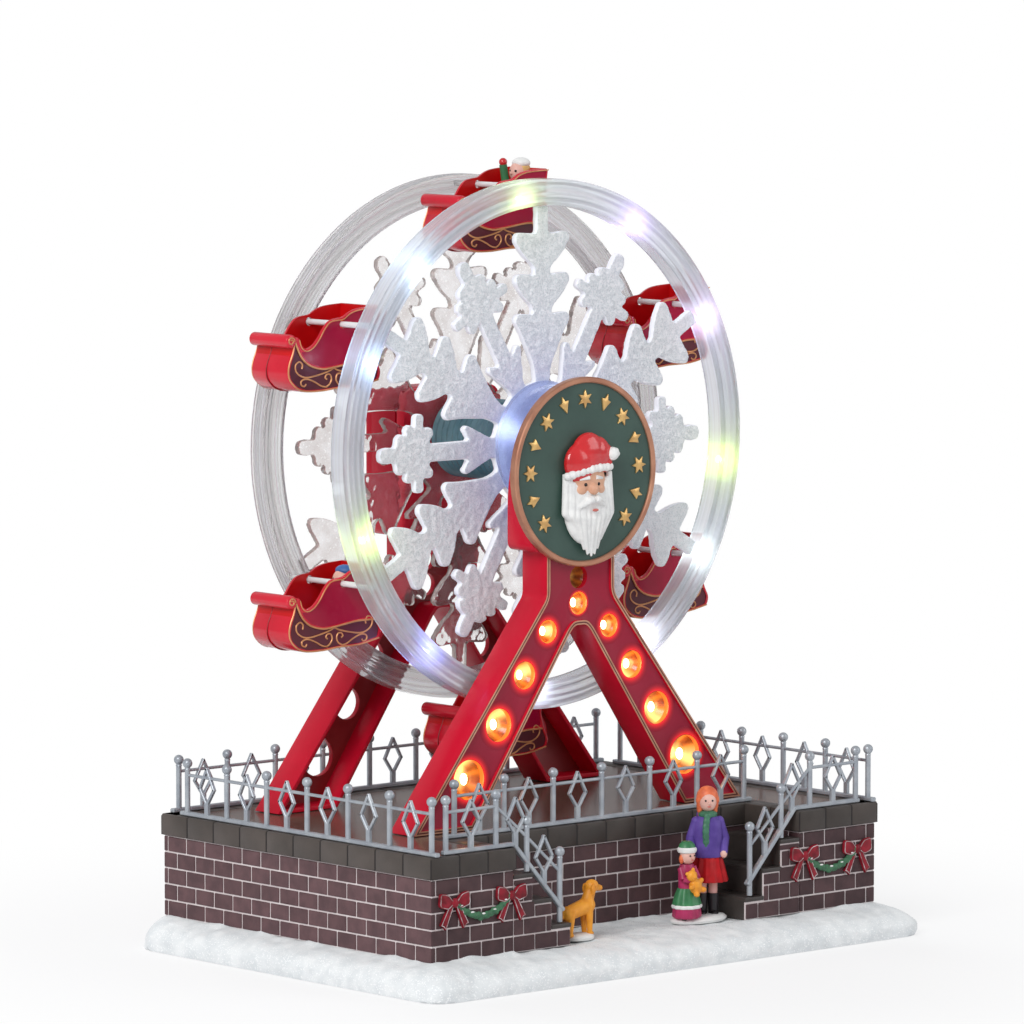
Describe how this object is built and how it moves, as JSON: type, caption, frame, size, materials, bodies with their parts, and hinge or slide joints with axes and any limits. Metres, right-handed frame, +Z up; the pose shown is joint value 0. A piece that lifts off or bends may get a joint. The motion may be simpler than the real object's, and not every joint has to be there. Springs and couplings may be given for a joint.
{
  "type": "musical ferris wheel decoration",
  "caption": "Table-top winter ferris wheel with hanging sleighs, snowflake plates and lights on a brick base with stairs and fences.",
  "frame": {"origin": "middle of the footprint, on the surface that the snow tray stands on", "axes": "+Z up, front with stairs, figures and sign towards -Y, wheel axis along Y"},
  "size_m": [0.2474, 0.1742, 0.2965],
  "materials": {
    "snow": "rough glittered",
    "brick": "painted brick",
    "coping": "satin",
    "deck": "gloss",
    "silver": "silver paint",
    "clear": "clear",
    "frost": "clear with a glitter face",
    "red": "gloss",
    "sleigh_red": "gloss",
    "green": "satin",
    "white": "satin",
    "black": "satin",
    "steel": "satin",
    "lamp": "lit",
    "purple": "painted",
    "amber": "painted",
    "board": "satin"
  },
  "bodies": {
    "base": {"snow_tray": "snow", "bottom_plate": "black", "battery_box": "black", "battery_1": "steel", "battery_2": "steel", "battery_3": "steel", "battery_hatch": "black", "circuit_board": "board", "speaker": "black", "brick_housing": "brick", "left_stairs": "brick", "right_stairs": "brick", "coping": "coping", "deck": "deck", "left_fence": "silver", "right_fence": "silver", "back_fence": "silver", "middle_fence": "silver", "left_wing_fence": "silver", "right_wing_fence": "silver", "front_frame": "red", "rear_frame": "red", "front_head_cover": "red", "gear_cover": "red", "motor_cover": "red", "gear_motor": "steel", "sign_disc": "green", "sign_head": "white", "frame_lamps": "lamp", "switch_body": "black", "figure_pair": "purple", "dog": "amber", "left_garland": "red", "right_garland": "red"},
    "wheel": {"front_rim": "clear", "rear_rim": "clear", "front_snowflake": "frost", "rear_snowflake": "frost", "hub_barrel": "frost", "hub_lens": "clear", "wheel_shaft": "steel", "light_chain": "lamp", "drive_gear": "white", "rod_1": "white", "rod_2": "white", "rod_3": "white", "rod_4": "white", "rod_5": "white", "rod_6": "white"},
    "pinion": {"pinion": "white"},
    "switch": {"switch_knob": "black"},
    "sleigh_1": {"sleigh_1": "sleigh_red"},
    "sleigh_2": {"sleigh_2": "sleigh_red", "top_rider": "green"},
    "sleigh_3": {"sleigh_3": "sleigh_red"},
    "sleigh_4": {"sleigh_4": "sleigh_red", "side_rider": "purple"},
    "sleigh_5": {"sleigh_5": "sleigh_red"},
    "sleigh_6": {"sleigh_6": "sleigh_red"}
  },
  "joints": [
    {"name": "wheel_spin", "type": "hinge", "parent": "base", "child": "wheel", "pos_m": [0, 0.0189, 0.1898], "axis": [0, 1, 0], "continuous": true},
    {"name": "pinion_spin", "type": "hinge", "parent": "base", "child": "pinion", "pos_m": [0, 0.0189, 0.1708], "axis": [0, 1, 0], "continuous": true},
    {"name": "switch_slide", "type": "slide", "parent": "base", "child": "switch", "axis": [1, 0, 0], "range_m": [0, 0.005]},
    {"name": "sleigh_1_swing", "type": "hinge", "parent": "wheel", "child": "sleigh_1", "pos_m": [0.08357, 0.0189, 0.23805], "axis": [0, 1, 0], "continuous": true},
    {"name": "sleigh_2_swing", "type": "hinge", "parent": "wheel", "child": "sleigh_2", "pos_m": [0, 0.0189, 0.2863], "axis": [0, 1, 0], "continuous": true},
    {"name": "sleigh_3_swing", "type": "hinge", "parent": "wheel", "child": "sleigh_3", "pos_m": [-0.08357, 0.0189, 0.23805], "axis": [0, 1, 0], "continuous": true},
    {"name": "sleigh_4_swing", "type": "hinge", "parent": "wheel", "child": "sleigh_4", "pos_m": [-0.08357, 0.0189, 0.14155], "axis": [0, 1, 0], "continuous": true},
    {"name": "sleigh_5_swing", "type": "hinge", "parent": "wheel", "child": "sleigh_5", "pos_m": [0, 0.0189, 0.0933], "axis": [0, 1, 0], "continuous": true},
    {"name": "sleigh_6_swing", "type": "hinge", "parent": "wheel", "child": "sleigh_6", "pos_m": [0.08357, 0.0189, 0.14155], "axis": [0, 1, 0], "continuous": true}
  ],
  "couplings": [
    {"joint": "pinion_spin", "follows": "wheel_spin", "ratio": -2.8},
    {"joint": "sleigh_1_swing", "follows": "wheel_spin", "ratio": -1},
    {"joint": "sleigh_2_swing", "follows": "wheel_spin", "ratio": -1},
    {"joint": "sleigh_3_swing", "follows": "wheel_spin", "ratio": -1},
    {"joint": "sleigh_4_swing", "follows": "wheel_spin", "ratio": -1},
    {"joint": "sleigh_5_swing", "follows": "wheel_spin", "ratio": -1},
    {"joint": "sleigh_6_swing", "follows": "wheel_spin", "ratio": -1}
  ]
}
